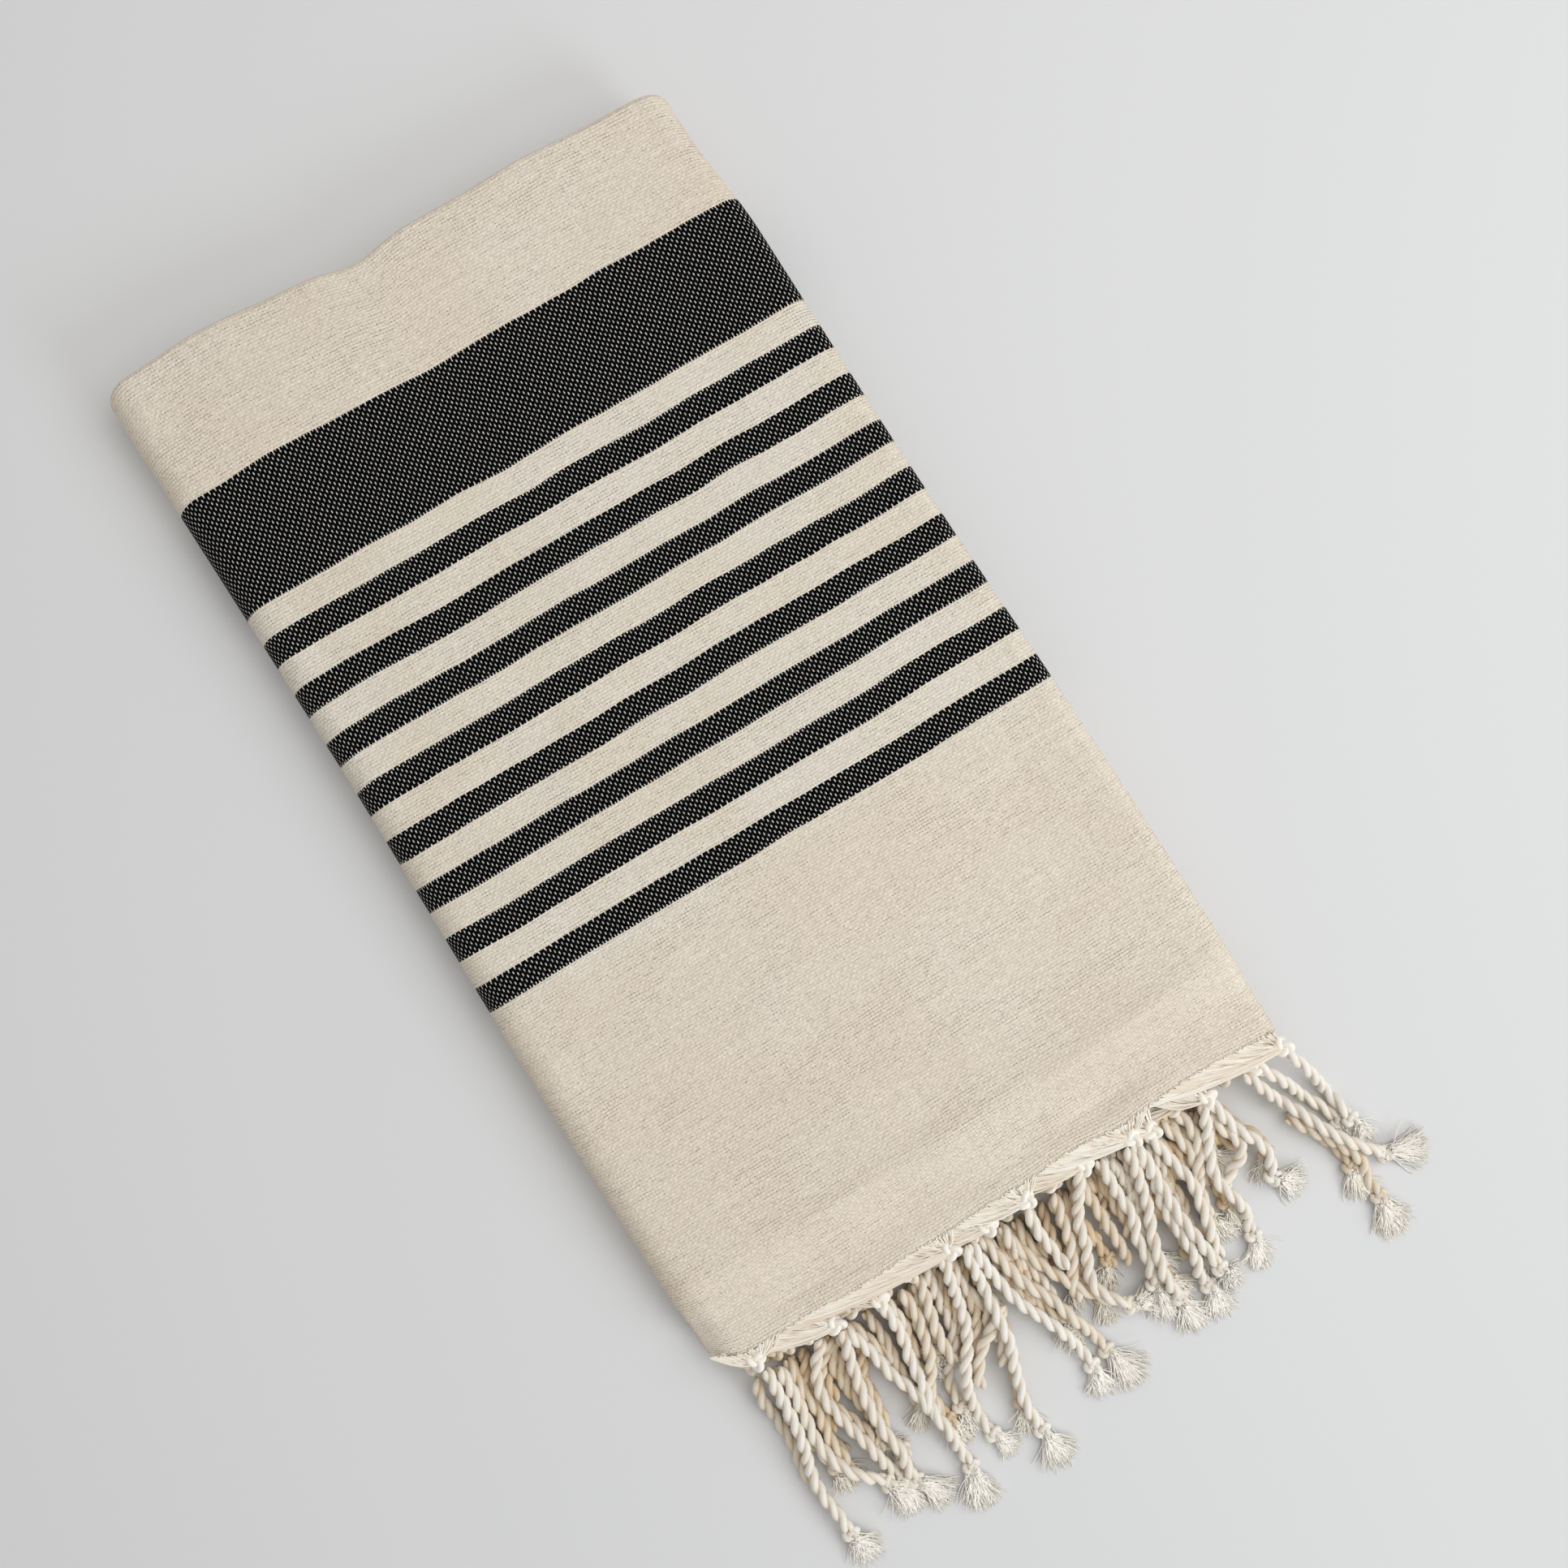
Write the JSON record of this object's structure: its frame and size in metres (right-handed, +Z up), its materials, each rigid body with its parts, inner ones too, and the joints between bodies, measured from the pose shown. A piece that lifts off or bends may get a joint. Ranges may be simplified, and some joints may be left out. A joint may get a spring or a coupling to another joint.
{
  "type": "hammam towel",
  "caption": "Woven cotton hammam towel with a broad dark band and thin dark stripes, folded flat into a long pad, its knotted cord fringes at one end.",
  "frame": {"origin": "under the middle of the folded towel with its fringe, on the surface it lies on", "axes": "+X across the folded towel, +Y from the fringe to the folded far end, +Z up"},
  "size_m": [0.2898, 0.5684, 0.0274],
  "materials": {
    "woven_cotton": "natural cream slub cotton, plain weave, with black weft bands that cream warp dots show through",
    "fringe_cotton": "natural cream two-ply twisted cotton cord, matt"
  },
  "bodies": {
    "root": {"towel_cloth": "woven_cotton", "fringe_outer_end": "fringe_cotton", "fringe_inner_end": "fringe_cotton"}
  },
  "joints": []
}
